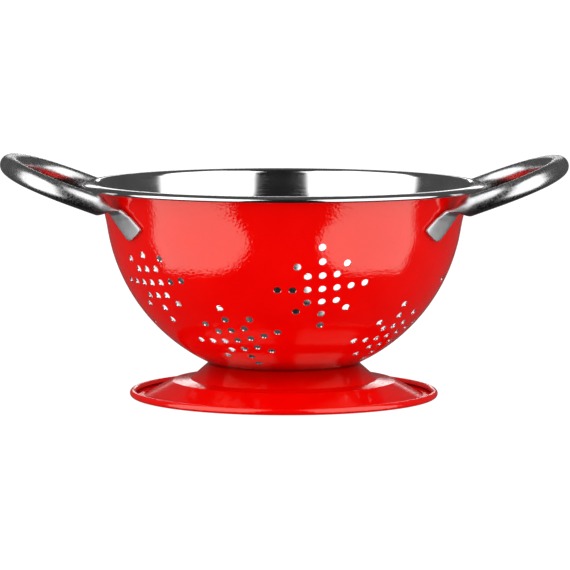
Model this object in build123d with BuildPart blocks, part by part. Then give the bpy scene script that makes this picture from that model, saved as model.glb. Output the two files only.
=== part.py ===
from build123d import *

import os
from math import acos, asin, atan2, cos, degrees, radians, sin, sqrt, tan

# A footed colander: one pierced spun bowl with a rolled rim, a spun ring foot and two bent tube handles,
# spot welded together. Millimetres, +Z up, the origin on the axis at the level that the foot stands on.

right_angle = 90.0

# Bowl
bowl_radius = 97.2
bowl_sheet = 0.8
bowl_clearance = 9.9
bowl_centre_height = bowl_radius + bowl_clearance
rim_flare_reach = 7.0
rim_crest_rise = 10.0
rim_lip_reach = 5.8
rim_lip_drop = 2.05
rim_crest_radius = bowl_radius + rim_flare_reach
rim_crest_height = bowl_centre_height + rim_crest_rise
rim_radius = rim_crest_radius + rim_lip_reach
rim_edge_height = rim_crest_height - rim_lip_drop
rim_bead_radius = 1.15
rim_curl_angle = 168.0

# Perforation: stars of holes laid out on the sphere
hole_diameter = 4.0
hole_pitch_share = 0.0816
hole_pitch = bowl_radius * hole_pitch_share
star_shares = [(x, y) for x in (-1, 0, 1) for y in (-1, 0, 1)]
star_shares += [(reach * x, reach * y) for reach in (2, 3) for x, y in ((1, 0), (-1, 0), (0, 1), (0, -1))]
corner_share = 1 + sqrt(0.5)
star_shares += [(corner_share * x, corner_share * y) for x in (-1, 1) for y in (-1, 1)]
upper_star_azimuths = (-214.0, -142.0, -76.5, 0.0, 72.0)
upper_star_latitude = 24.3
upper_star_turn = 4.2
lower_star_azimuths = (-252.0, -180.0, -110.7, -35.4, 36.0)
lower_star_latitude = 45.7
lower_star_turn = 11.4

# Foot
foot_sheet = 0.8
foot_seat_radius = 33.0
foot_seat_width = 7.7
foot_neck_width = 10.3
foot_shoulder_width = 9.6
foot_cone_width = 15.5
foot_lip_width = 7.9
foot_neck_radius = foot_seat_radius + foot_seat_width
foot_shoulder_radius = foot_neck_radius + foot_neck_width
foot_step_radius = foot_shoulder_radius + foot_shoulder_width
foot_valley_radius = foot_step_radius + foot_cone_width
foot_radius = foot_valley_radius + foot_lip_width
foot_shoulder_height = 9.7
foot_shoulder_fall = 0.85
foot_step_height = foot_shoulder_height - foot_shoulder_fall
foot_bead_radius = 1.9
foot_bead_curl_angle = 272.0
foot_corner_radius = 1.2

# Handles: a loop of round tube in a rising plane, its ends flattened, folded down and laid on the bowl
tube_radius = 5.3
handle_projection = 39.0
handle_reach = rim_radius + handle_projection
handle_rise_angle = 20.3
loop_end_radius = 73.0
loop_end_angle = 27.0
loop_corner_radius = 33.0
loop_corner_angle = 69.0
leg_drop = 0.44
tab_width = 14.0
tab_thickness = 3.2
tab_lift = 0.3
tab_inset = 6.0
tab_latitude = 2.0
tab_length = 19.0
tab_fall = 38.0
tab_end_slant = 23.0
tab_corner_radius = 3.0
tab_section_shares = (0.19, 0.42, 0.65, 0.88)
fold_tilt = 8.0
fold_radius = 3.6
flat_length = 11.0
press_shares = ((0.15, 0.08), (0.35, 0.36), (0.55, 0.69), (0.75, 0.95), (0.9, 1))
fold_shares = (0, 0.25, 0.5, 0.75, 1)
seat_gap = 0.02

# Spot welds
weld_radius = 2.0
weld_depth = 0.3
tab_weld_pitch = 7.0
foot_weld_count = 8

overrun = 3.0
bowl_centre = Vector(0, 0, bowl_centre_height)


def turned(centre, radius, angle):
    return (centre[0] + radius * cos(radians(angle)), centre[1] + radius * sin(radians(angle)))


def outward(azimuth, latitude):
    # Azimuth is measured from +X towards +Y, and latitude is positive below the sphere's equator
    level = cos(radians(latitude))
    return Vector(level * cos(radians(azimuth)), level * sin(radians(azimuth)), -sin(radians(latitude)))


def on_bowl(direction):
    return Plane(origin=bowl_centre + direction * bowl_radius, z_dir=direction)


# Loop: half of its line in its own plane, from the middle of the far end round to the straight leg
end_centre = (-loop_end_radius, 0)
corner_centre = turned(end_centre, loop_end_radius - loop_corner_radius, loop_end_angle)
leg_heading = loop_end_angle + loop_corner_angle
leg_start = turned(corner_centre, loop_corner_radius, leg_heading)
leg_way = Vector(-sin(radians(leg_heading)), cos(radians(leg_heading)))

# Tab: its frame on the sphere, a little nearer the middle than the leg, then the places of its welds
tab_curve = bowl_radius + tab_lift
tab_spread = leg_start[1] - tab_inset
tab_azimuth = degrees(asin(tab_spread / tab_curve / cos(radians(tab_latitude))))
tab_out = outward(tab_azimuth, tab_latitude)
tab_across = Vector(0, 0, 1).cross(tab_out).normalized()
tab_down = tab_out.cross(tab_across).normalized() * -1
tab_run = tab_across * cos(radians(tab_fall)) + tab_down * sin(radians(tab_fall))


def along_tab(distance):
    # The outward direction of the point that lies this far along the tab on the bowl
    turn = distance / bowl_radius
    return (tab_out * cos(turn) + tab_run * sin(turn)).normalized()


tab_weld_places = (tab_length / 2 - tab_weld_pitch / 2, tab_length / 2 + tab_weld_pitch / 2)
quarter_turns = [(1, 1), (1, -1), (-1, 1), (-1, -1)]


def tab_weld_planes(x_sides):
    found = []
    for x_side, y_side in quarter_turns:
        if x_side in x_sides:
            for place in tab_weld_places:
                aim = along_tab(place)
                found.append(on_bowl(Vector(x_side * aim.X, y_side * aim.Y, aim.Z)))
    return found


foot_weld_radius = (foot_seat_radius + foot_neck_radius) / 2
foot_weld_latitude = degrees(acos(foot_weld_radius / bowl_radius))
foot_weld_planes = [
    on_bowl(outward(360 * (turn + 0.5) / foot_weld_count, foot_weld_latitude)) for turn in range(foot_weld_count)
]


# Perforation: every hole is square to the sphere, and none lies under a handle's tab
def star_directions(azimuth, latitude, turn):
    middle = outward(azimuth, latitude)
    east = Vector(-sin(radians(azimuth)), cos(radians(azimuth)), 0)
    north = middle.cross(east).normalized() * -1
    if latitude < right_angle and north.Z < 0:
        north = north * -1
    found = []
    for x, y in star_shares:
        a = x * cos(radians(turn)) - y * sin(radians(turn))
        b = x * sin(radians(turn)) + y * cos(radians(turn))
        reach = sqrt(a * a + b * b)
        if reach == 0:
            found.append(middle)
        else:
            arc = reach * hole_pitch / bowl_radius
            side = (east * a + north * b) * (1 / reach)
            found.append((middle * cos(arc) + side * sin(arc)).normalized())
    return found


def under_tab(direction):
    folded = Vector(abs(direction.X), abs(direction.Y), direction.Z)
    reach = (folded - tab_out) * bowl_radius
    run = min(max(reach.dot(tab_run), 0), tab_length)
    nearest = along_tab(run)
    return (folded - nearest).length * bowl_radius < (tab_width + hole_diameter) / 2


hole_directions = star_directions(0, right_angle, 0)
for azimuth in upper_star_azimuths:
    hole_directions += star_directions(azimuth, upper_star_latitude, upper_star_turn)
for azimuth in lower_star_azimuths:
    hole_directions += star_directions(azimuth, lower_star_latitude, lower_star_turn)
hole_planes = [on_bowl(direction) for direction in hole_directions if not under_tab(direction)]

# Bowl: the flare has one centre for both its faces, and so has each arc of the rim
flare_radius = rim_crest_radius - bowl_radius
flare_centre = (rim_crest_radius, rim_crest_height - bowl_sheet - flare_radius)
bead_centre = (rim_radius - rim_bead_radius, rim_edge_height)
bead_offset = bead_centre[0] - rim_crest_radius
bead_drop = rim_crest_height - rim_edge_height
crest_arc_radius = (bead_offset**2 + bead_drop**2 - rim_bead_radius**2) / (2 * (bead_drop - rim_bead_radius))
crest_centre = (rim_crest_radius, rim_crest_height - crest_arc_radius)
bead_angle = degrees(atan2(bead_centre[1] - crest_centre[1], bead_offset))
crest_sweep = right_angle - bead_angle
curl_end = bead_angle - rim_curl_angle
with BuildPart() as bowl:
    with BuildSketch(Plane.XZ):
        with BuildLine():
            CenterArc((0, bowl_centre_height), bowl_radius, -right_angle, right_angle)
            Line((bowl_radius, bowl_centre_height), (bowl_radius, flare_centre[1]))
            CenterArc(flare_centre, flare_radius, right_angle, right_angle)
            CenterArc(crest_centre, crest_arc_radius - bowl_sheet, bead_angle, crest_sweep)
            CenterArc(bead_centre, rim_bead_radius - bowl_sheet, curl_end, rim_curl_angle)
            Line(
                turned(bead_centre, rim_bead_radius - bowl_sheet, curl_end),
                turned(bead_centre, rim_bead_radius, curl_end),
            )
            CenterArc(bead_centre, rim_bead_radius, curl_end, rim_curl_angle)
            CenterArc(crest_centre, crest_arc_radius, bead_angle, crest_sweep)
            CenterArc(flare_centre, flare_radius + bowl_sheet, right_angle, right_angle)
            Line((bowl_radius - bowl_sheet, flare_centre[1]), (bowl_radius - bowl_sheet, bowl_centre_height))
            CenterArc((0, bowl_centre_height), bowl_radius - bowl_sheet, -right_angle, right_angle)
            Line((0, bowl_centre_height - bowl_radius), (0, bowl_centre_height - bowl_radius + bowl_sheet))
        make_face()
    revolve(axis=Axis.Z)
    with Locations(*hole_planes):
        Cylinder(hole_diameter / 2, 2 * (bowl_sheet + overrun), mode=Mode.SUBTRACT)
    with Locations(*tab_weld_planes((1, -1)), *foot_weld_planes):
        Cylinder(weld_radius, 2 * weld_depth, mode=Mode.SUBTRACT)

# Foot: the seat hugs the bowl, two cones step down, and the edge is rolled upwards
foot_seat_curve = bowl_radius + seat_gap
seat_start = -degrees(acos(foot_seat_radius / foot_seat_curve))
seat_end = -degrees(acos(foot_neck_radius / foot_seat_curve))
seat_sweep = seat_end - seat_start
sphere_centre = (0, bowl_centre_height)
foot_bead_centre = (foot_radius - foot_bead_radius, foot_bead_radius)
foot_upper = [
    turned(sphere_centre, foot_seat_curve, seat_end),
    (foot_shoulder_radius, foot_shoulder_height),
    (foot_step_radius, foot_step_height),
    (foot_valley_radius, foot_sheet),
    (foot_bead_centre[0], foot_sheet),
]


def beside(points, before, distance):
    # The corners of the line that runs this far to the right of the given one
    found = []
    for index in range(len(points)):
        ways = []
        if index == 0:
            ways.append(Vector(before[0], before[1]))
        else:
            ways.append(Vector(*points[index]) - Vector(*points[index - 1]))
        if index < len(points) - 1:
            ways.append(Vector(*points[index + 1]) - Vector(*points[index]))
        rights = [Vector(way.Y, -way.X).normalized() for way in ways]
        middle = sum(rights, Vector(0, 0)).normalized()
        found.append(Vector(*points[index]) + middle * (distance / middle.dot(rights[0])))
    return [(point.X, point.Y) for point in found]


seat_way = (-sin(radians(seat_end)), cos(radians(seat_end)))
foot_lower = beside(foot_upper, seat_way, foot_sheet)
lower_radii = [foot_corner_radius, foot_corner_radius + foot_sheet, foot_corner_radius]
with BuildPart() as foot:
    with BuildSketch(Plane.XZ):
        with BuildLine():
            CenterArc(sphere_centre, foot_seat_curve, seat_start, seat_sweep)
            FilletPolyline(*foot_upper, radius=foot_corner_radius)
            CenterArc(foot_bead_centre, foot_bead_radius - foot_sheet, -right_angle, foot_bead_curl_angle)
            Line(
                turned(foot_bead_centre, foot_bead_radius - foot_sheet, foot_bead_curl_angle - right_angle),
                turned(foot_bead_centre, foot_bead_radius, foot_bead_curl_angle - right_angle),
            )
            CenterArc(foot_bead_centre, foot_bead_radius, -right_angle, foot_bead_curl_angle)
            FilletPolyline(*foot_lower, radius=foot_corner_radius)
            Line(turned(sphere_centre, foot_seat_curve + foot_sheet, seat_end), foot_lower[0])
            CenterArc(sphere_centre, foot_seat_curve + foot_sheet, seat_start, seat_sweep)
            Line(
                turned(sphere_centre, foot_seat_curve, seat_start),
                turned(sphere_centre, foot_seat_curve + foot_sheet, seat_start),
            )
        make_face()
    revolve(axis=Axis.Z)
    with Locations(*foot_weld_planes):
        Cylinder(weld_radius, 2 * weld_depth, mode=Mode.SUBTRACT)

# Handles: the loop's path runs in a plane that rises away from the bowl
# and whose straight legs pass a little below the folds' corners
fold_corner = bowl_centre + tab_out * tab_curve
rise = radians(handle_rise_angle)
handle_height = fold_corner.Z + (handle_reach - fold_corner.X) * tan(rise) - leg_drop
loop_plane = Plane(
    origin=(handle_reach, 0, handle_height), x_dir=(cos(rise), 0, sin(rise)), z_dir=(-sin(rise), 0, cos(rise))
)


def in_loop(point):
    return loop_plane.from_local_coords(Vector(point[0], point[1], 0))


leg_run = (in_loop((leg_way.X, leg_way.Y)) - in_loop((0, 0))).normalized()

# The fold's corner lies on the tab's middle line, and the straight leg stops a flat's length before it
fold_axis = tab_across * cos(radians(fold_tilt)) - tab_down * sin(radians(fold_tilt))
leg_length = (fold_corner - in_loop(leg_start)).dot(leg_run) - flat_length
leg_end = in_loop(leg_start) + leg_run * leg_length
flat_run = (fold_corner - leg_end).normalized()

# Ways across the fold line before and after it, and where the fold's bend starts and ends
way_in = (flat_run - fold_axis * flat_run.dot(fold_axis)).normalized()
way_out = (tab_run - fold_axis * tab_run.dot(fold_axis)).normalized()
fold_turn = acos(way_in.dot(way_out))
fold_reach = fold_radius * tan(fold_turn / 2)
into_fold = fold_corner - flat_run * (fold_reach / flat_run.dot(way_in))
out_of_fold = fold_corner + tab_run * (fold_reach / tab_run.dot(way_out))
fold_width_in = tab_width / sqrt(1 - flat_run.dot(fold_axis) ** 2)
fold_width_out = tab_width / sqrt(1 - tab_run.dot(fold_axis) ** 2)
fold_side = (way_out - way_in * way_out.dot(way_in)).normalized()
fold_drift = (out_of_fold - into_fold).dot(fold_axis)
leg_across = leg_run.cross(loop_plane.z_dir)


def flat_section(origin, across, run, width, thickness):
    # The tube's section where it is pressed: wide along the given way, which may lie askew to the run
    skew = across.normalized().dot(run.normalized())
    plane = Plane(origin=origin, x_dir=across, z_dir=run - across * run.dot(across) / across.dot(across))
    return (plane * Ellipse(width / 2 / sqrt(1 - skew**2), thickness / 2)).face()


# Askew ways: the tab's sections turn from the fold's slant, where the bend ends, to the end's slant
fold_end = (out_of_fold - fold_corner).length
straight_length = tab_length - fold_end
tab_side_way = tab_out.cross(tab_run)
fold_lead = fold_axis.dot(tab_run) / fold_axis.dot(tab_side_way)
end_lead = tan(radians(tab_end_slant))


def tab_section(distance):
    aim = along_tab(distance)
    run = (tab_run - aim * tab_run.dot(aim)).normalized()
    lead = fold_lead + (end_lead - fold_lead) * (distance - fold_end) / straight_length
    return flat_section(bowl_centre + aim * tab_curve, aim.cross(run) + run * lead, run, tab_width, tab_thickness)


# Pressed end, section by section: from the round tube to the fold, round the fold, then along the tab
tube_end = (Plane(origin=leg_end, x_dir=leg_across, z_dir=leg_run) * Circle(tube_radius)).face()
press_way = into_fold - leg_end
end_sections = [tube_end]
for way_share, change_share in press_shares:
    across = leg_across * (1 - way_share) + fold_axis * way_share
    run = leg_run * (1 - way_share) + flat_run * way_share
    width = 2 * tube_radius + (tab_width - 2 * tube_radius) * change_share
    thickness = 2 * tube_radius + (tab_thickness - 2 * tube_radius) * change_share
    end_sections.append(flat_section(leg_end + press_way * way_share, across, run, width, thickness))
for share in fold_shares:
    turn = fold_turn * share
    run = way_in * cos(turn) + fold_side * sin(turn)
    bend = way_in * sin(turn) + fold_side * (1 - cos(turn))
    place = into_fold + bend * fold_radius + fold_axis * (fold_drift * share)
    width = fold_width_in * (1 - share) + fold_width_out * share
    end_sections.append(flat_section(place, fold_axis, run, width, tab_thickness))
for share in tab_section_shares:
    end_sections.append(tab_section(fold_end + straight_length * share))
end_sections.append(tab_section(tab_length + 2 * overrun))

# The tab's end is cut at a slant, with round corners, square to the bowl
tab_end = along_tab(tab_length)
tab_end_plane = Plane(
    origin=bowl_centre + tab_end * tab_curve, x_dir=tab_run - tab_end * tab_run.dot(tab_end), z_dir=tab_end
)
tab_side = tab_width / 2
loop_end = turned(end_centre, loop_end_radius, loop_end_angle)
loop_corner = turned(corner_centre, loop_corner_radius, loop_end_angle + loop_corner_angle / 2)


def across_handle(point):
    return Vector(point.X, -point.Y, point.Z)


with BuildLine() as loop_path:
    Line(leg_end, in_loop(leg_start))
    ThreePointArc(in_loop(leg_start), in_loop(loop_corner), in_loop(loop_end))
    ThreePointArc(in_loop(loop_end), in_loop((0, 0)), across_handle(in_loop(loop_end)))
    ThreePointArc(
        across_handle(in_loop(loop_end)),
        across_handle(in_loop(loop_corner)),
        across_handle(in_loop(leg_start)),
    )
    Line(across_handle(in_loop(leg_start)), across_handle(leg_end))

with BuildPart() as handle_right:
    loft(sections=end_sections, ruled=True)
    with BuildSketch(tab_end_plane):
        Rectangle(tab_length, 2 * tab_width)
        with BuildLine():
            FilletPolyline(
                (-tab_length, -tab_side),
                (-tab_side * end_lead, -tab_side),
                (tab_side * end_lead, tab_side),
                (-tab_length, tab_side),
                radius=tab_corner_radius,
            )
            Line((-tab_length, tab_side), (-tab_length, -tab_side))
        make_face(mode=Mode.SUBTRACT)
    extrude(amount=tab_thickness, both=True, mode=Mode.SUBTRACT)
    mirror(about=Plane.XZ)
    sweep(sections=tube_end, path=loop_path.wires()[0])
    with Locations(bowl_centre):
        Sphere(bowl_radius + seat_gap, mode=Mode.SUBTRACT)
    with Locations(*tab_weld_planes((1,))):
        Cylinder(weld_radius, 2 * weld_depth, mode=Mode.SUBTRACT)

with BuildPart() as handle_left:
    mirror(handle_right.part, about=Plane.YZ)

# Weld spots: one nugget in each pair of pockets
with BuildPart() as handle_weld_spots:
    with Locations(*tab_weld_planes((1, -1))):
        Cylinder(weld_radius, 2 * weld_depth)

with BuildPart() as foot_weld_spots:
    with Locations(*foot_weld_planes):
        Cylinder(weld_radius, 2 * weld_depth)

bowl.part.label = "bowl"
foot.part.label = "foot"
handle_left.part.label = "handle_left"
handle_right.part.label = "handle_right"
handle_weld_spots.part.label = "handle_weld_spots"
foot_weld_spots.part.label = "foot_weld_spots"

os.makedirs("parts", exist_ok=True)
export_step(bowl.part, "parts/bowl.step")
export_step(foot.part, "parts/foot.step")
export_step(handle_left.part, "parts/handle_left.step")
export_step(handle_right.part, "parts/handle_right.step")
export_step(handle_weld_spots.part, "parts/handle_weld_spots.step")
export_step(foot_weld_spots.part, "parts/foot_weld_spots.step")
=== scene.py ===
from math import acos, atan2, cos, pi, radians, sin, sqrt, tan

import bmesh
import bpy
from mathutils import Matrix, Vector


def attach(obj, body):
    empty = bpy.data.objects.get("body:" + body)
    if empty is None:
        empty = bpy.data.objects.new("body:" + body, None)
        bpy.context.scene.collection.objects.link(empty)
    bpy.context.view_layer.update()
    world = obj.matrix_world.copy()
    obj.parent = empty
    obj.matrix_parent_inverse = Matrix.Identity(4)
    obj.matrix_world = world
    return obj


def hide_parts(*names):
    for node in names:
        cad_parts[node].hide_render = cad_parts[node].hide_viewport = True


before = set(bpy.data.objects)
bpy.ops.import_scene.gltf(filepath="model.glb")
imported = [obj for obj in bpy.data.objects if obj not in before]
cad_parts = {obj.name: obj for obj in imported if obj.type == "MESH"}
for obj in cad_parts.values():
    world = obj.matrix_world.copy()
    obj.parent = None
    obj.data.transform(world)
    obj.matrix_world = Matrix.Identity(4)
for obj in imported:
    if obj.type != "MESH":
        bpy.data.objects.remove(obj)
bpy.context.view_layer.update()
mm = 0.001
print("frame loaded")

view = {
    "place": (13.685, -2181.122, 278.411),
    "yaw": -0.006032823,
    "pitch": 0.099486116,
    "roll": 0.002285759,
    "focalPixels": 4025.343,
    "picturePixels": 570,
    "sensor": 36,
    "clipEnd": 20,
}


def addCamera(v):
    cam = bpy.data.cameras.new("camera")
    cam.sensor_width = v["sensor"]
    cam.lens = v["focalPixels"] / v["picturePixels"] * v["sensor"]
    cam.clip_end = v["clipEnd"]
    ahead = Vector((sin(v["yaw"]) * cos(v["pitch"]), cos(v["yaw"]) * cos(v["pitch"]), -sin(v["pitch"])))
    right = Vector((cos(v["yaw"]), -sin(v["yaw"]), 0))
    up = right.cross(ahead)
    rolledRight = right * cos(v["roll"]) + up * sin(v["roll"])
    rolledUp = up * cos(v["roll"]) - right * sin(v["roll"])
    turn = Matrix((rolledRight, rolledUp, -ahead)).transposed().to_4x4()
    camera = bpy.data.objects.new("camera", cam)
    bpy.context.scene.collection.objects.link(camera)
    camera.matrix_world = Matrix.Translation(Vector(v["place"]) * mm) @ turn
    bpy.context.scene.camera = camera


addCamera(view)
bpy.context.scene.view_settings.view_transform = "Standard"
print("camera placed")


# Small helpers for node materials
def newMaterial(name):
    mat = bpy.data.materials.new(name)
    mat.use_nodes = True
    return mat, mat.node_tree.nodes, mat.node_tree.links, mat.node_tree.nodes["Principled BSDF"]


def mathNode(nodes, links, operation, first, second=None, third=None):
    node = nodes.new("ShaderNodeMath")
    node.operation = operation
    for socket, value in zip(node.inputs, (first, second, third)):
        if isinstance(value, (int, float)):
            socket.default_value = value
        elif value is not None:
            links.new(value, socket)
    return node.outputs[0]


def noiseNode(nodes, links, vector, scale, detail=2.0, roughness=0.5):
    node = nodes.new("ShaderNodeTexNoise")
    node.inputs["Scale"].default_value = scale
    node.inputs["Detail"].default_value = detail
    node.inputs["Roughness"].default_value = roughness
    links.new(vector, node.inputs["Vector"])
    return node.outputs["Fac"]


def mapRange(nodes, links, value, low, high, outLow, outHigh):
    node = nodes.new("ShaderNodeMapRange")
    node.interpolation_type = "SMOOTHSTEP"
    links.new(value, node.inputs["Value"])
    for name, number in zip(("From Min", "From Max", "To Min", "To Max"), (low, high, outLow, outHigh)):
        node.inputs[name].default_value = number
    return node.outputs["Result"]


def colourRamp(nodes, links, value, span, low, high):
    node = nodes.new("ShaderNodeValToRGB")
    for element, place, colour in zip(node.color_ramp.elements, span, (low, high)):
        element.position = place
        element.color = (*colour, 1)
    links.new(value, node.inputs["Fac"])
    return node.outputs["Color"]


def lengthNode(nodes, links, first, second):
    square = mathNode(nodes, links, "MULTIPLY", second, second)
    square = mathNode(nodes, links, "MULTIPLY_ADD", first, first, square)
    return mathNode(nodes, links, "SQRT", square)


def spunPlace(nodes, links, place):
    # The distance from the upright axis, and the height
    split = nodes.new("ShaderNodeSeparateXYZ")
    links.new(place, split.inputs[0])
    x, y, z = split.outputs
    return lengthNode(nodes, links, x, y), z


def bumpNormal(nodes, links, height, distance):
    node = nodes.new("ShaderNodeBump")
    node.inputs["Strength"].default_value = 1.0
    node.inputs["Distance"].default_value = distance
    links.new(height, node.inputs["Height"])
    return node.outputs["Normal"]


# Where noise is mapped to a look, its useful span
noiseSpan = (0.3, 0.7)

enamelLook = {
    "red": (0.88, 0.0008, 0.0),
    "deepRed": (0.83, 0.0005, 0.0),
    "roughness": (0.04, 0.065),
    "ior": 1.7,
    "glint": (1, 0.98, 0.82, 1),
    "peelScale": 650,
    "peelBump": 0.00008,
    "driftScale": 60,
    # The seam values set a painted shade towards the seam between the bowl and the foot: a wide fall-off and a
    # narrow darker line
    "seamPlace": (0.0412, 0.0186),
    "seamShadeTone": 0.55,
    "seamReach": 0.017,
    "seamLineShadeTone": 0.4,
    "seamLineReach": 0.0011,
}


def enamelMaterial(look):
    mat, nodes, links, shader = newMaterial("enamelRed")
    place = nodes.new("ShaderNodeTexCoord").outputs["Object"]
    drift = noiseNode(nodes, links, place, look["driftScale"], detail=3)
    # Painted shade towards the seam between the bowl and the foot, set by the photo's brightness there
    radius, height = spunPlace(nodes, links, place)
    across = mathNode(nodes, links, "SUBTRACT", radius, look["seamPlace"][0])
    above = mathNode(nodes, links, "SUBTRACT", height, look["seamPlace"][1])
    away = lengthNode(nodes, links, across, above)
    wide = mapRange(nodes, links, away, 0, look["seamReach"], look["seamShadeTone"], 1)
    line = mapRange(nodes, links, away, 0, look["seamLineReach"], look["seamLineShadeTone"], 1)
    tone = mathNode(nodes, links, "MULTIPLY", wide, line)
    paintedShade = nodes.new("ShaderNodeVectorMath")
    paintedShade.operation = "SCALE"
    links.new(colourRamp(nodes, links, drift, noiseSpan, look["deepRed"], look["red"]), paintedShade.inputs[0])
    links.new(tone, paintedShade.inputs["Scale"])
    links.new(paintedShade.outputs[0], shader.inputs["Base Color"])
    peel = noiseNode(nodes, links, place, look["peelScale"], detail=2)
    links.new(bumpNormal(nodes, links, peel, look["peelBump"]), shader.inputs["Normal"])
    links.new(mapRange(nodes, links, drift, *noiseSpan, *look["roughness"]), shader.inputs["Roughness"])
    shader.inputs["IOR"].default_value = look["ior"]
    shader.inputs["Specular Tint"].default_value = look["glint"]
    return mat


steelLook = {
    "tint": (0.80, 0.80, 0.81),
    "dullTint": (0.68, 0.68, 0.69),
    "roughness": (0.07, 0.16),
    "ringScale": 1500,
    "ringBump": 0.000003,
    "smearScale": 35,
    "smearSpan": (0.3, 0.6),
}


def spunSteelMaterial(look):
    # Fine rings left by the spinning lathe: the pattern depends only on the radius and the height
    mat, nodes, links, shader = newMaterial("steelSpun")
    place = nodes.new("ShaderNodeTexCoord").outputs["Object"]
    radius, z = spunPlace(nodes, links, place)
    join = nodes.new("ShaderNodeCombineXYZ")
    links.new(radius, join.inputs[0])
    links.new(z, join.inputs[2])
    rings = noiseNode(nodes, links, join.outputs[0], look["ringScale"], detail=2)
    smear = noiseNode(nodes, links, place, look["smearScale"], detail=3)
    tints = colourRamp(nodes, links, smear, look["smearSpan"], look["dullTint"], look["tint"])
    links.new(tints, shader.inputs["Base Color"])
    shader.inputs["Metallic"].default_value = 1.0
    halfSmear = mathNode(nodes, links, "MULTIPLY", smear, 0.5)
    wear = mathNode(nodes, links, "MULTIPLY_ADD", rings, 0.5, halfSmear)
    links.new(mapRange(nodes, links, wear, *noiseSpan, *look["roughness"]), shader.inputs["Roughness"])
    links.new(bumpNormal(nodes, links, rings, look["ringBump"]), shader.inputs["Normal"])
    return mat


tubeLook = {
    "tint": (0.72, 0.72, 0.73),
    "dullTint": (0.56, 0.56, 0.57),
    "roughness": (0.22, 0.33),
    "grainScale": 900,
    "grainBump": 0.0000012,
    "smearScale": 110,
    "smearSpan": (0.25, 0.6),
    "pressedPlace": (0.100, 0.120),
    "pressedRoughness": 0.22,
}


def tubeSteelMaterial(look):
    mat, nodes, links, shader = newMaterial("steelTube")
    place = nodes.new("ShaderNodeTexCoord").outputs["Object"]
    grain = noiseNode(nodes, links, place, look["grainScale"], detail=4, roughness=0.6)
    smear = noiseNode(nodes, links, place, look["smearScale"], detail=3)
    tints = colourRamp(nodes, links, smear, look["smearSpan"], look["dullTint"], look["tint"])
    links.new(tints, shader.inputs["Base Color"])
    shader.inputs["Metallic"].default_value = 1.0
    # The pressed ends near the bowl are duller
    radius = spunPlace(nodes, links, place)[0]
    pressed = mapRange(nodes, links, radius, *look["pressedPlace"], look["pressedRoughness"], 0)
    grainRoughness = mapRange(nodes, links, grain, *noiseSpan, *look["roughness"])
    links.new(mathNode(nodes, links, "ADD", pressed, grainRoughness), shader.inputs["Roughness"])
    links.new(bumpNormal(nodes, links, grain, look["grainBump"]), shader.inputs["Normal"])
    return mat


weldLook = {
    "darkTint": (0.3, 0.3, 0.32),
    "tint": (0.5, 0.5, 0.52),
    "roughness": (0.35, 0.6),
    "mottleScale": 600,
}


def weldMaterial(look):
    mat, nodes, links, shader = newMaterial("steelFused")
    place = nodes.new("ShaderNodeTexCoord").outputs["Object"]
    mottle = noiseNode(nodes, links, place, look["mottleScale"], detail=3)
    tints = colourRamp(nodes, links, mottle, noiseSpan, look["darkTint"], look["tint"])
    links.new(tints, shader.inputs["Base Color"])
    links.new(mapRange(nodes, links, mottle, *noiseSpan, *look["roughness"]), shader.inputs["Roughness"])
    shader.inputs["Metallic"].default_value = 1.0
    return mat


enamelRed = enamelMaterial(enamelLook)
steelSpun = spunSteelMaterial(steelLook)
steelTube = tubeSteelMaterial(tubeLook)
steelFused = weldMaterial(weldLook)
print("materials made")


# Small helpers for modelling
def deselectAll():
    if bpy.context.object and bpy.context.object.mode != "OBJECT":
        bpy.ops.object.mode_set(mode="OBJECT")
    bpy.ops.object.select_all(action="DESELECT")


def useOnly(piece):
    deselectAll()
    piece.select_set(True)
    bpy.context.view_layer.objects.active = piece


def arcPoints(centre, radius, start, sweep, steps, first=0):
    turns = [radians(start + sweep * step / steps) for step in range(first, steps + 1)]
    return [(centre[0] + radius * cos(turn), centre[1] + radius * sin(turn)) for turn in turns]


def spunPiece(name, outline, steps):
    # A circle is bent to the outline in the XZ plane, spun about Z and closed on itself
    deselectAll()
    bpy.ops.mesh.primitive_circle_add(vertices=len(outline), radius=0.01, fill_type="NOTHING")
    piece = bpy.context.object
    piece.name = name
    piece.data.name = name
    for vertex, (across, height) in zip(piece.data.vertices, outline):
        vertex.co = (across * mm, 0, height * mm)
    bpy.ops.object.mode_set(mode="EDIT")
    bpy.ops.mesh.select_all(action="SELECT")
    bpy.ops.mesh.spin(steps=steps, angle=2 * pi, center=(0, 0, 0), axis=(0, 0, 1))
    bpy.ops.mesh.select_all(action="SELECT")
    bpy.ops.mesh.remove_doubles(threshold=0.000005)
    bpy.ops.mesh.dissolve_degenerate(threshold=0.000002)
    bpy.ops.mesh.normals_make_consistent(inside=False)
    bpy.ops.object.mode_set(mode="OBJECT")
    return piece


def smoothShade(piece, angle):
    useOnly(piece)
    bpy.ops.object.shade_smooth_by_angle(angle=radians(angle))


def finishPiece(piece, material, body="root", replaced=()):
    piece.data.materials.clear()
    piece.data.materials.append(material)
    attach(piece, body)
    if replaced:
        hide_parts(*replaced)


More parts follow.
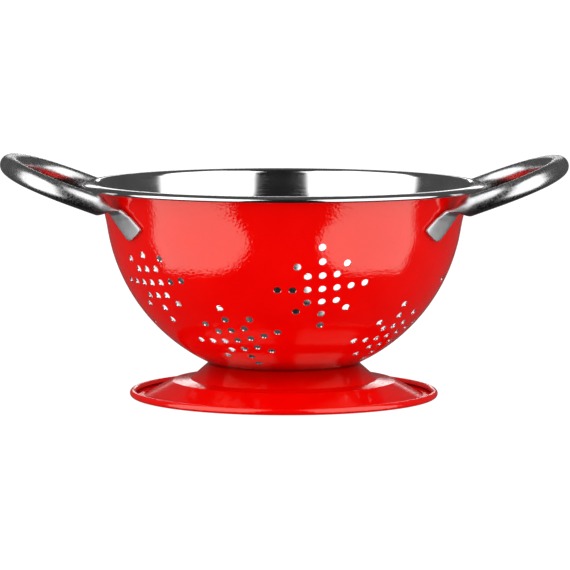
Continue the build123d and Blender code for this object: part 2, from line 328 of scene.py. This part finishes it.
bowl = {
    "centreHeight": 107.1,
    "radius": 97.2,
    "sheet": 0.8,
    "coat": 0.12,
    "leans": (9.0, 16.5),
    "bendRadius": 100.0,
    "crestPlace": (104.2, 116.3),
    "crestCentre": (104.2, 103.4875),
    "crestRadius": 13.6125,
    "beadCentre": (108.84, 115.05),
    "beadRadius": 1.15,
    "beadAngle": 68.09,
    "curl": 168,
    "coatEnd": 72.5,
    "coatSunk": 0.9,
    "coatTucked": 0.4,
    "spinSteps": 240,
    "wallSteps": 70,
    "bendSteps": 10,
    "flareSteps": 16,
    "crestSteps": 6,
    "beadSteps": 18,
    "curlSteps": 10,
    "coatCrestSteps": 5,
    "cutDepth": 6,
    "smoothAngle": 35,
    "holeRadius": 2.0,
    "holeSides": 20,
    "holePitch": 7.93,
    "upperStars": (-124.0, -52.0, 13.5, 90.0, 162.0),
    "upperLatitude": 24.3,
    "upperTurn": 4.2,
    "lowerStars": (-162.0, -90.0, -20.7, 54.6, 126.0),
    "lowerLatitude": 45.7,
    "lowerTurn": 11.4,
    "starReach": 1.7071,
}

tab = {
    "azimuth": 27.5,
    "latitude": 2.0,
    "width": 14.0,
    "thickness": 2.3,
    "length": 19.0,
    "fall": 38.0,
    "endSlant": 23.0,
    "cornerRadius": 3.0,
    "foldTilt": 8.0,
    "foldRadius": 3.6,
    "flatLength": 11.0,
    "lift": 1.05,
    "squareness": 1.6,
    "pressSteps": 12,
    "foldSteps": 8,
    "tabSteps": 6,
    "cornerSteps": 6,
    "wall": 0.9,
    "slitHalf": 0.22,
    "slitDepth": 1.2,
    "pressReach": 0.96,
    "pressHaste": 1.12,
    "endThinning": 0.8,
}


def outward(azimuth, latitude):
    level = cos(radians(latitude))
    return Vector((level * cos(radians(azimuth)), level * sin(radians(azimuth)), -sin(radians(latitude))))


bowlCentre = Vector((0, 0, bowl["centreHeight"]))
tabOut = outward(tab["azimuth"], tab["latitude"])
tabAcross = Vector((0, 0, 1)).cross(tabOut).normalized()
tabDown = tabOut.cross(tabAcross).normalized() * -1
tabRun = tabAcross * cos(radians(tab["fall"])) + tabDown * sin(radians(tab["fall"]))


def alongTab(distance):
    turn = distance / bowl["radius"]
    return (tabOut * cos(turn) + tabRun * sin(turn)).normalized()


def upperWall(b):
    # Above the sphere a long bend leans the wall outward, and a tight flare turns it over to the crest
    first, last = (radians(lean) for lean in b["leans"])
    reach = b["radius"] + b["bendRadius"]
    bendCentre = (reach * cos(first), b["centreHeight"] - reach * sin(first))
    across, height = b["crestPlace"]
    wallLine = bendCentre[0] * cos(last) - bendCentre[1] * sin(last) - b["bendRadius"]
    flareRadius = (across * cos(last) - height * sin(last) - wallLine) / (1 - sin(last))
    return bendCentre, (across, height - flareRadius), flareRadius


def wallShift(height):
    # How far the leaning wall stands outside the sphere
    b = bowl
    bendCentre = upperWall(b)[0]
    first, last = (radians(lean) for lean in b["leans"])
    bendTop = bendCentre[1] + b["bendRadius"] * sin(last)
    if height < bendCentre[1] + b["bendRadius"] * sin(first):
        return 0
    if height < bendTop:
        across = bendCentre[0] - sqrt(b["bendRadius"] ** 2 - (height - bendCentre[1]) ** 2)
    else:
        across = bendCentre[0] - b["bendRadius"] * cos(last) + (height - bendTop) * tan(last)
    return across - sqrt(b["radius"] ** 2 - (b["centreHeight"] - height) ** 2)


def upperArcs(b, offset, downward=False):
    # Points of the bend and the flare, moved inward by the offset
    bendCentre, flareCentre, flareRadius = upperWall(b)
    first, last = b["leans"]
    points = arcPoints(bendCentre, b["bendRadius"] + offset, 180 - first, first - last, b["bendSteps"], 1)
    points += arcPoints(flareCentre, flareRadius + offset, 180 - last, last - 90, b["flareSteps"])
    return points[::-1][1:] if downward else points


def wallOutline(b):
    # The steel's closed section: up the inside, over the rolled rim and back down under the enamel
    pole = (0, b["centreHeight"])
    lean = b["leans"][0]
    inner = b["radius"] - b["sheet"]
    outer = b["radius"] - b["coat"]
    curlEnd = b["beadAngle"] - b["curl"]
    points = arcPoints(pole, inner, -90, 90 - lean, b["wallSteps"])
    points += upperArcs(b, b["sheet"])
    points += arcPoints(b["crestCentre"], b["crestRadius"], 90, b["beadAngle"] - 90, b["crestSteps"], 1)
    points += arcPoints(b["beadCentre"], b["beadRadius"], b["beadAngle"], -b["curl"], b["beadSteps"], 1)
    points += arcPoints(b["beadCentre"], b["beadRadius"] - b["sheet"], curlEnd, b["curl"], b["curlSteps"])
    crestUnder = b["crestRadius"] - b["sheet"]
    points += arcPoints(b["crestCentre"], crestUnder, b["beadAngle"], 90 - b["beadAngle"], b["crestSteps"], 1)
    points += upperArcs(b, b["coat"], downward=True)
    points += arcPoints(pole, outer, -lean, lean - 90, b["wallSteps"])
    return points


def coatOutline(b):
    # The enamel's closed section, from under the rim to the bowl's lowest point
    pole = (0, b["centreHeight"])
    lean = b["leans"][0]
    crestUnder = b["crestRadius"] - b["sheet"]
    sunk = b["coat"] * b["coatSunk"]
    tucked = crestUnder + b["coat"] * b["coatTucked"]
    under = crestUnder - b["coat"]
    points = arcPoints(pole, b["radius"] - sunk, -90, 90 - lean, b["wallSteps"])
    points += upperArcs(b, sunk)
    points += arcPoints(b["crestCentre"], tucked, 90, b["coatEnd"] - 90, b["coatCrestSteps"], 1)
    points += arcPoints(b["crestCentre"], under, b["coatEnd"], 90 - b["coatEnd"], b["coatCrestSteps"])
    points += upperArcs(b, 0, downward=True)
    points += arcPoints(pole, b["radius"], -lean, lean - 90, b["wallSteps"])
    return points


def starDirections(azimuth, latitude, turn):
    # A star of 21 holes: a square of nine, two more along each arm, and one beyond each corner
    b = bowl
    reach = b["starReach"]
    places = [(x, y) for x in (-1, 0, 1) for y in (-1, 0, 1)]
    places += [(far * x, far * y) for far in (2, 3) for x, y in ((1, 0), (-1, 0), (0, 1), (0, -1))]
    places += [(reach * x, reach * y) for x in (-1, 1) for y in (-1, 1)]
    middle = outward(azimuth, latitude)
    east = Vector((-sin(radians(azimuth)), cos(radians(azimuth)), 0))
    north = middle.cross(east).normalized() * -1
    if latitude < 90 and north.z < 0:
        north = north * -1
    found = []
    for x, y in places:
        a = x * cos(radians(turn)) - y * sin(radians(turn))
        c = x * sin(radians(turn)) + y * cos(radians(turn))
        length = sqrt(a * a + c * c)
        if length == 0:
            found.append(middle)
            continue
        arc = length * b["holePitch"] / b["radius"]
        side = (east * a + north * c) / length
        found.append((middle * cos(arc) + side * sin(arc)).normalized())
    return found


def underTab(direction):
    # Whether a hole would lie under one of the four tabs, all folded onto the first
    folded = Vector((abs(direction.x), abs(direction.y), direction.z))
    run = min(max((folded - tabOut).dot(tabRun) * bowl["radius"], 0), tab["length"])
    return (folded - alongTab(run)).length * bowl["radius"] < tab["width"] / 2 + bowl["holeRadius"]


def holeCutter(b):
    directions = starDirections(0, 90, 0)
    for azimuth in b["upperStars"]:
        directions += starDirections(azimuth - 90, b["upperLatitude"], b["upperTurn"])
    for azimuth in b["lowerStars"]:
        directions += starDirections(azimuth - 90, b["lowerLatitude"], b["lowerTurn"])
    deselectAll()
    bpy.ops.mesh.primitive_cylinder_add(vertices=b["holeSides"], radius=b["holeRadius"] * mm,
                                        depth=b["cutDepth"] * mm)
    first = bpy.context.object
    copies = []
    for direction in directions:
        if underTab(direction):
            continue
        copy = first.copy()
        copy.data = first.data.copy()
        bpy.context.scene.collection.objects.link(copy)
        place = (bowlCentre + direction * b["radius"]) * mm
        copy.matrix_world = Matrix.Translation(place) @ direction.to_track_quat("Z", "Y").to_matrix().to_4x4()
        copies.append(copy)
    bpy.data.objects.remove(first)
    deselectAll()
    for copy in copies:
        copy.select_set(True)
    bpy.context.view_layer.objects.active = copies[0]
    bpy.ops.object.join()
    cutter = bpy.context.object
    bpy.ops.object.transform_apply(location=True, rotation=True, scale=True)
    return cutter


def cutHoles(piece, cutter):
    useOnly(piece)
    modifier = piece.modifiers.new("holes", "BOOLEAN")
    modifier.operation = "DIFFERENCE"
    modifier.solver = "MANIFOLD"
    modifier.object = cutter
    bpy.ops.object.modifier_apply(modifier=modifier.name)


cutter = holeCutter(bowl)
bowlWall = spunPiece("bowlWall", wallOutline(bowl), bowl["spinSteps"])
cutHoles(bowlWall, cutter)
smoothShade(bowlWall, bowl["smoothAngle"])
finishPiece(bowlWall, steelSpun, replaced=("bowl",))
enamelCoat = spunPiece("enamelCoat", coatOutline(bowl), bowl["spinSteps"])
cutHoles(enamelCoat, cutter)
smoothShade(enamelCoat, bowl["smoothAngle"])
finishPiece(enamelCoat, enamelRed)
bpy.data.objects.remove(cutter)
print("bowl made")

loop = {
    "reach": 148.99,
    "height": 126.4,
    "rise": 20.3,
    "tubeRadius": 5.29,
    "endRadius": 73.0,
    "endAngle": 27.0,
    "cornerRadius": 33.0,
    "cornerAngle": 69.0,
    "ringSides": 40,
    "endSteps": 12,
    "cornerSteps": 18,
    "legSteps": 3,
    "spinSign": -1,
    "smoothAngle": 50,
}


def loopPoint(local):
    rise = radians(loop["rise"])
    return Vector((loop["reach"] + local[0] * cos(rise), local[1], loop["height"] + local[0] * sin(rise)))


def loopCentres(h):
    # The centres of the wide end arc and of the corner arc in the loop's plane
    end = Vector((-h["endRadius"], 0))
    turn = radians(h["endAngle"])
    return end, end + Vector((cos(turn), sin(turn))) * (h["endRadius"] - h["cornerRadius"])


def smoothShare(share):
    share = min(max(share, 0), 1)
    return share * share * (3 - 2 * share)


def tabPlace(aim):
    # The middle of the tab's thickness where it lies on the wall
    place = bowlCentre + aim * (bowl["radius"] + tab["lift"])
    return place + Vector((aim.x, aim.y, 0)).normalized() * wallShift(place.z)


def pressedStations():
    # Rings from the round tube to the tab's end. Each has its place, its wide and thick ways, half its
    # width and thickness, and its squareness
    t, h = tab, loop
    halfTube, halfTab, halfThick = h["tubeRadius"], t["width"] / 2, t["thickness"] / 2
    heading = radians(h["endAngle"] + h["cornerAngle"])
    cornerCentre = loopCentres(h)[1]
    legStart = loopPoint(cornerCentre + Vector((cos(heading), sin(heading))) * h["cornerRadius"])
    legRun = (loopPoint((-sin(heading), cos(heading))) - loopPoint((0, 0))).normalized()
    loopUp = Vector((-sin(radians(h["rise"])), 0, cos(radians(h["rise"]))))
    legAcross = legRun.cross(loopUp)
    foldCorner = tabPlace(tabOut)
    foldAxis = tabAcross * cos(radians(t["foldTilt"])) - tabDown * sin(radians(t["foldTilt"]))
    legEnd = legStart + legRun * ((foldCorner - legStart).dot(legRun) - t["flatLength"])
    flatRun = (foldCorner - legEnd).normalized()
    wayIn = (flatRun - foldAxis * flatRun.dot(foldAxis)).normalized()
    wayOut = (tabRun - foldAxis * tabRun.dot(foldAxis)).normalized()
    turn = acos(wayIn.dot(wayOut))
    reach = t["foldRadius"] * tan(turn / 2)
    intoFold = foldCorner - flatRun * (reach / flatRun.dot(wayIn))
    outOfFold = foldCorner + tabRun * (reach / tabRun.dot(wayOut))
    stations = []

    def add(place, across, run, width, thick, square):
        across = across.normalized()
        skew = across.dot(run.normalized())
        thickWay = (run - across * skew).normalized().cross(across)
        stations.append((place, across, thickWay, width / sqrt(1 - skew * skew), thick, square))

    for step in range(1, t["pressSteps"] + 1):
        share = step / t["pressSteps"] * t["pressReach"]
        change = smoothShare(share * t["pressHaste"])
        place = legEnd + (intoFold - legEnd) * share
        across = legAcross * (1 - share) + foldAxis * share
        run = legRun * (1 - share) + flatRun * share
        width = halfTube + (halfTab - halfTube) * change
        thick = halfTube + (halfThick - halfTube) * change
        add(place, across, run, width, thick, 2 + t["squareness"] * change)
    side = (wayOut - wayIn * wayOut.dot(wayIn)).normalized()
    drift = (outOfFold - intoFold).dot(foldAxis)
    widthIn = halfTab / sqrt(1 - flatRun.dot(foldAxis) ** 2)
    widthOut = halfTab / sqrt(1 - tabRun.dot(foldAxis) ** 2)
    for step in range(t["foldSteps"] + 1):
        share = step / t["foldSteps"]
        angle = turn * share
        bend = wayIn * sin(angle) + side * (1 - cos(angle))
        place = intoFold + bend * t["foldRadius"] + foldAxis * (drift * share)
        run = wayIn * cos(angle) + side * sin(angle)
        width = widthIn * (1 - share) + widthOut * share
        add(place, foldAxis, run, width, halfThick, 2 + t["squareness"])
    sideWay = tabOut.cross(tabRun)
    foldLead = foldAxis.dot(tabRun) / foldAxis.dot(sideWay)
    endLead = tan(radians(t["endSlant"]))
    firstPlace = (outOfFold - foldCorner).length
    corner = t["cornerRadius"]
    cornerTurns = [pi / 2 * step / t["cornerSteps"] for step in range(t["cornerSteps"] + 1)]
    cornerLeft = [corner * (1 - sin(cornerTurn)) for cornerTurn in cornerTurns]
    straight = t["length"] - corner
    distances = [firstPlace + (straight - firstPlace) * step / t["tabSteps"] for step in range(1, t["tabSteps"])]
    for left in [t["length"] - distance for distance in distances] + cornerLeft:
        distance = t["length"] - left
        aim = alongTab(distance)
        run = (tabRun - aim * tabRun.dot(aim)).normalized()
        lead = foldLead + (endLead - foldLead) * (distance - firstPlace) / (t["length"] - firstPlace)
        width = halfTab
        if left < corner:
            width = halfTab - corner + sqrt(max(corner ** 2 - (corner - left) ** 2, 0))
        thick = halfThick * (1 if left > 0.01 else t["endThinning"])
        add(tabPlace(aim), aim.cross(run) + run * lead, run, width, thick, 2 + t["squareness"])
    # The pressed end: the two walls meet in a fine slit
    for deep in (0, t["slitDepth"]):
        add(tabPlace(aim) - run * deep, aim.cross(run) + run * lead, run, width - t["wall"], t["slitHalf"], 2)
    return legStart, legRun, legAcross, loopUp, legEnd, stations


def squaredPoint(station, angle):
    place, across, thickWay, width, thick, square = station
    x = abs(cos(angle)) ** (2 / square) * (1 if cos(angle) > 0 else -1)
    y = abs(sin(angle)) ** (2 / square) * (1 if sin(angle) > 0 else -1)
    return (place + across * (width * x) + thickWay * (thick * y)) * mm


def makeHandle(name):
    # Half the loop is run from its middle to the tab's end, then mirrored across Y
    h = loop
    legStart, legRun, legAcross, loopUp, legEnd, stations = pressedStations()
    deselectAll()
    bpy.ops.mesh.primitive_circle_add(vertices=h["ringSides"], radius=h["tubeRadius"] * mm,
                                      location=loopPoint((0, 0)) * mm, rotation=(pi / 2, 0, 0))
    piece = bpy.context.object
    piece.name = name
    piece.data.name = name
    bpy.ops.object.transform_apply(location=True, rotation=True, scale=True)
    bpy.ops.object.mode_set(mode="EDIT")
    bpy.ops.mesh.select_all(action="SELECT")
    arcs = zip(loopCentres(h), (h["endAngle"], h["cornerAngle"]), (h["endSteps"], h["cornerSteps"]))
    for centre, angle, steps in arcs:
        turn = h["spinSign"] * radians(angle)
        bpy.ops.mesh.spin(steps=steps, angle=turn, center=loopPoint(centre) * mm, axis=loopUp)
    legStep = (legEnd - legStart) * mm / h["legSteps"]
    for step in range(h["legSteps"]):
        bpy.ops.mesh.extrude_region_move(TRANSFORM_OT_translate={"value": legStep})
    rings = bmesh.from_edit_mesh(piece.data)
    thickWay = legRun.cross(legAcross)

    def ringAngle(vertex):
        away = vertex.co - legEnd * mm
        return atan2(away.dot(thickWay), away.dot(legAcross))

    # Each new ring keeps the angles of the tube's vertices, found by the ring before it
    angles = sorted(ringAngle(vertex) for vertex in rings.verts if vertex.select)
    previous = None
    for station in stations:
        bpy.ops.mesh.extrude_region_move(TRANSFORM_OT_translate={"value": (0, 0, 0)})
        rings = bmesh.from_edit_mesh(piece.data)
        for vertex in [found for found in rings.verts if found.select]:
            if previous is None:
                angle = min(angles, key=lambda turn: abs(turn - ringAngle(vertex)))
            else:
                angle = min(angles, key=lambda turn: (squaredPoint(previous, turn) - vertex.co).length)
            vertex.co = squaredPoint(station, angle)
        bmesh.update_edit_mesh(piece.data)
        previous = station
    bpy.ops.mesh.edge_face_add()
    bpy.ops.mesh.select_all(action="SELECT")
    bpy.ops.mesh.normals_make_consistent(inside=False)
    bpy.ops.object.mode_set(mode="OBJECT")
    mirror = piece.modifiers.new("otherHalf", "MIRROR")
    mirror.use_axis = (False, True, False)
    mirror.use_clip = True
    mirror.merge_threshold = 0.00001
    bpy.ops.object.modifier_apply(modifier=mirror.name)
    return piece


foot = {
    "sheet": 0.8,
    "seatRadius": 33.0,
    "neckRadius": 40.7,
    "upper": ((51.0, 9.7), (60.6, 8.85), (76.1, 0.8)),
    "beadCentre": (82.1, 1.9),
    "beadRadius": 1.9,
    "beadCurl": 272,
    "cornerRadius": 1.2,
    "seatGap": 0.02,
    "seatSteps": 4,
    "cornerSteps": 5,
    "beadInsideSteps": 16,
    "beadOutsideSteps": 26,
    "smoothAngle": 50,
}


def roundedCorner(before, corner, after, radius, steps):
    # Points of the arc that rounds one corner of an outline
    corner = Vector(corner)
    first = (Vector(before) - corner).normalized()
    second = (Vector(after) - corner).normalized()
    half = acos(max(-1, min(1, first.dot(second)))) / 2
    centre = corner + (first + second).normalized() * (radius / sin(half))
    start = corner + first * (radius / tan(half)) - centre
    end = corner + second * (radius / tan(half)) - centre
    turn = start.angle_signed(end) * -1
    return [tuple(centre + Matrix.Rotation(turn * step / steps, 2) @ start) for step in range(steps + 1)]


def besideLine(points, distance):
    # The same line moved to its right by the sheet's thickness
    found = []
    for index, point in enumerate(points):
        ways = []
        if index > 0:
            ways.append((Vector(point) - Vector(points[index - 1])).normalized())
        if index < len(points) - 1:
            ways.append((Vector(points[index + 1]) - Vector(point)).normalized())
        rights = [Vector((way.y, -way.x)) for way in ways]
        middle = sum(rights, Vector((0, 0))).normalized()
        found.append(tuple(Vector(point) + middle * (distance / middle.dot(rights[0]))))
    return found


def footOutline(f):
    # From the seat on the bowl, down two cones to the rolled edge, and back along the underside
    pole = (0, bowl["centreHeight"])
    seat = bowl["radius"] + f["seatGap"]
    seatStart, seatEnd = acos(f["seatRadius"] / seat), acos(f["neckRadius"] / seat)
    seatDegrees = [angle * -180 / pi for angle in (seatStart, seatEnd)]
    neck = arcPoints(pole, seat, seatDegrees[1], 0, 1, 1)[0]
    upper = [neck, *f["upper"], (f["beadCentre"][0], f["sheet"])]
    lower = besideLine(upper, f["sheet"])
    lower[0] = arcPoints(pole, seat + f["sheet"], seatDegrees[1], 0, 1, 1)[0]
    small, large, steps = f["cornerRadius"], f["cornerRadius"] + f["sheet"], f["cornerSteps"]
    points = arcPoints(pole, seat, seatDegrees[0], seatDegrees[1] - seatDegrees[0], f["seatSteps"])
    for index, radius in ((1, small), (2, large), (3, small)):
        points += roundedCorner(upper[index - 1], upper[index], upper[index + 1], radius, steps)
    points += arcPoints(f["beadCentre"], f["beadRadius"] - f["sheet"], -90, f["beadCurl"], f["beadInsideSteps"])
    points += arcPoints(f["beadCentre"], f["beadRadius"], f["beadCurl"] - 90, -f["beadCurl"], f["beadOutsideSteps"])
    for index, radius in ((3, large), (2, small), (1, large)):
        points += roundedCorner(lower[index + 1], lower[index], lower[index - 1], radius, steps)
    points += arcPoints(pole, seat + f["sheet"], seatDegrees[1], seatDegrees[0] - seatDegrees[1], f["seatSteps"])
    return points


footRing = spunPiece("footRing", footOutline(foot), bowl["spinSteps"])
smoothShade(footRing, foot["smoothAngle"])
finishPiece(footRing, enamelRed, replaced=("foot",))
print("foot made")

handleRight = makeHandle("handleTubeRight")
handleLeft = handleRight.copy()
handleLeft.data = handleRight.data.copy()
handleLeft.name = "handleTubeLeft"
bpy.context.scene.collection.objects.link(handleLeft)
useOnly(handleLeft)
handleLeft.scale.x = -1
bpy.ops.object.transform_apply(location=False, rotation=False, scale=True)
bpy.ops.object.mode_set(mode="EDIT")
bpy.ops.mesh.select_all(action="SELECT")
bpy.ops.mesh.normals_make_consistent(inside=False)
bpy.ops.object.mode_set(mode="OBJECT")
for piece, node in ((handleRight, "handle_right"), (handleLeft, "handle_left")):
    smoothShade(piece, loop["smoothAngle"])
    finishPiece(piece, steelTube, replaced=(node,))
print("handles made")

for name in ("handle_weld_spots", "foot_weld_spots"):
    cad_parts[name].data.materials.clear()
    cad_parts[name].data.materials.append(steelFused)

# Lamps, floor and the world that is mirrored. Groups of four are limits and the values at them
studio = {
    "lampPlace": (42, 1.2, 0.32),
    "lampAim": (0, 0, 0.08),
    "lampSize": (1.4, 0.55),
    "lampPower": 1.6,
    "topPlace": (0, -0.3, 1.5),
    "topAim": (0, 0, 0),
    "topSize": (1.4, 1.0),
    "topPower": 4.5,
    "ambient": 0.98,
    "panel": 1.7,
    "front": 0.012,
    "back": 0.08,
    "nearAzimuth": 23.5,
    "nearWidth": 1,
    "nearHigh": (50, 76, 0, 30),
    "nearLevel": (-6, 10, 0, -6),
    "nearRising": (15, 45, 0, -5),
    "farAzimuth": 96,
    "farWidth": 2,
    "farHigh": (10, 65, 0, 25),
    "farRising": (16, 28, 0, -8),
    "crossWidth": (-0.1, 0.1, 0, 1),
    "crossRising": (0, 20, 0, 1),
    "crossShift": 5,
    "lowElevation": -39,
    "lowWidth": 1,
    "cornerAzimuth": 60,
    "cornerWidth": 36,
    "cornerPower": 4,
    "cornerRise": 14,
    "farSlope": 0.2,
    "highElevation": 72,
    "highWidth": 3,
    "darkAzimuths": (40, 120),
    "darkBelow": (-60, -10, 0.3, 1),
    "bandAzimuths": (168, 173),
    "bandStart": (8.2, 9.2, 0, 1),
    "bandEnd": (12.2, 13.5, 1, 0),
    "backdrop": 2.6,
    "floorSize": 20,
    "floorDrop": 0.0002,
    "floorRoughness": 0.6,
    "floorGlow": 0.85,
    "floorWhite": 1.16,
    "floorBounce": 0.75,
}


def addLamp(name, place, aim, size, power):
    # A soft lamp for diffuse light only: the metal and the enamel mirror the world's panels instead
    lamp = bpy.data.lights.new(name, "AREA")
    lamp.shape = "RECTANGLE"
    lamp.size, lamp.size_y = size
    lamp.energy = power
    holder = bpy.data.objects.new(name, lamp)
    bpy.context.scene.collection.objects.link(holder)
    holder.location = place
    holder.rotation_euler = (Vector(aim) - Vector(place)).to_track_quat("-Z", "Y").to_euler()
    holder.visible_glossy = False


def aroundObject(azimuth, distance, height):
    return (sin(radians(azimuth)) * distance, -cos(radians(azimuth)) * distance, height)


for side in (-1, 1):
    azimuth, distance, height = studio["lampPlace"]
    place = aroundObject(side * azimuth, distance, height)
    addLamp("sideLamp", place, studio["lampAim"], studio["lampSize"], studio["lampPower"])
addLamp("topLamp", studio["topPlace"], studio["topAim"], studio["topSize"], studio["topPower"])


def addFloor(look):
    # White to the camera under a soft shadow. Clear to mirror rays, so that they see the dark studio through it
    deselectAll()
    bpy.ops.mesh.primitive_plane_add(size=look["floorSize"], location=(0, 0, -look["floorDrop"]))
    floor = bpy.context.object
    floor.name = "floor"
    mat, nodes, links, shader = newMaterial("paleFloor")
    shader.inputs["Base Color"].default_value = (look["floorBounce"],) * 3 + (1,)
    shader.inputs["Roughness"].default_value = look["floorRoughness"]
    path = nodes.new("ShaderNodeLightPath")
    glow = nodes.new("ShaderNodeEmission")
    glow.inputs["Strength"].default_value = look["floorWhite"]
    clear = nodes.new("ShaderNodeBsdfTransparent")
    cameraMix = nodes.new("ShaderNodeMixShader")
    mirrorMix = nodes.new("ShaderNodeMixShader")
    cameraShare = mathNode(nodes, links, "MULTIPLY", path.outputs["Is Camera Ray"], look["floorGlow"])
    links.new(cameraShare, cameraMix.inputs["Fac"])
    links.new(shader.outputs["BSDF"], cameraMix.inputs[1])
    links.new(glow.outputs["Emission"], cameraMix.inputs[2])
    links.new(path.outputs["Is Glossy Ray"], mirrorMix.inputs["Fac"])
    links.new(cameraMix.outputs["Shader"], mirrorMix.inputs[1])
    links.new(clear.outputs["BSDF"], mirrorMix.inputs[2])
    links.new(mirrorMix.outputs["Shader"], nodes["Material Output"].inputs["Surface"])
    floor.data.materials.append(mat)


def addWorld(look):
    # White to the camera and level to diffuse rays. Mirror rays see a dark studio with a tall panel on each side
    world = bpy.data.worlds.new("studio")
    bpy.context.scene.world = world
    world.use_nodes = True
    nodes, links = world.node_tree.nodes, world.node_tree.links

    def math(operation, *values):
        return mathNode(nodes, links, operation, *values)

    def ease(value, limits):
        return mapRange(nodes, links, value, *limits)

    split = nodes.new("ShaderNodeSeparateXYZ")
    links.new(nodes.new("ShaderNodeTexCoord").outputs["Generated"], split.inputs[0])
    x, y, z = split.outputs
    azimuth = math("DEGREES", math("ARCTAN2", math("ABSOLUTE", x), math("MULTIPLY", y, -1)))
    elevation = math("DEGREES", math("ARCSINE", z))
    # The azimuth of the panel's near and far edges changes with the elevation
    near = math("ADD", ease(elevation, look["nearHigh"]), ease(elevation, look["nearLevel"]))
    near = math("ADD", near, math("ADD", ease(elevation, look["nearRising"]), look["nearAzimuth"]))
    far = math("ADD", ease(elevation, look["farHigh"]), look["farAzimuth"])
    far = math("ADD", ease(elevation, look["farRising"]), far)
    # The panel on the right is a little narrower above the horizon, as the mirror images in the bowl ask
    cross = math("MULTIPLY", ease(x, look["crossWidth"]), ease(elevation, look["crossRising"]))
    near = math("MULTIPLY_ADD", cross, look["crossShift"], near)
    far = math("MULTIPLY_ADD", cross, -look["crossShift"], far)
    # The lower edge rises in the near corner and slopes up towards the far one
    corner = math("MAXIMUM", math("SUBTRACT", look["cornerAzimuth"], azimuth), 0)
    corner = math("POWER", math("DIVIDE", corner, look["cornerWidth"]), look["cornerPower"])
    bottom = math("MULTIPLY_ADD", corner, look["cornerRise"], look["lowElevation"])
    beyond = math("MAXIMUM", math("SUBTRACT", azimuth, look["cornerAzimuth"]), 0)
    bottom = math("MULTIPLY_ADD", beyond, look["farSlope"], bottom)
    # The panel ends softly at its four edges
    width = look["nearWidth"]
    panel = ease(math("SUBTRACT", azimuth, near), (-width, width, 0, look["panel"]))
    width = look["farWidth"]
    panel = math("MULTIPLY", panel, ease(math("SUBTRACT", azimuth, far), (-width, width, 1, 0)))
    width = look["lowWidth"]
    panel = math("MULTIPLY", panel, ease(math("SUBTRACT", elevation, bottom), (-width, width, 0, 1)))
    high = look["highElevation"]
    panel = math("MULTIPLY", panel, ease(elevation, (high - look["highWidth"], high, 1, 0)))
    # Elsewhere the studio is dark, a little less so behind and at the height of the object
    dark = ease(azimuth, (*look["darkAzimuths"], look["front"], look["back"]))
    level = math("ADD", panel, math("MULTIPLY", dark, ease(elevation, look["darkBelow"])))
    # A narrow pale band straight behind
    behind = ease(azimuth, (*look["bandAzimuths"], 0, look["backdrop"]))
    behind = math("MULTIPLY", behind, ease(elevation, look["bandStart"]))
    level = math("ADD", level, math("MULTIPLY", behind, ease(elevation, look["bandEnd"])))
    path = nodes.new("ShaderNodeLightPath")
    level = math("MULTIPLY_ADD", path.outputs["Is Diffuse Ray"], math("SUBTRACT", look["ambient"], level), level)
    level = math("MULTIPLY_ADD", path.outputs["Is Camera Ray"], math("SUBTRACT", 1, level), level)
    links.new(level, nodes["Background"].inputs["Strength"])
    nodes["Background"].inputs["Color"].default_value = (1, 1, 1, 1)


addFloor(studio)
addWorld(studio)
print("studio set")
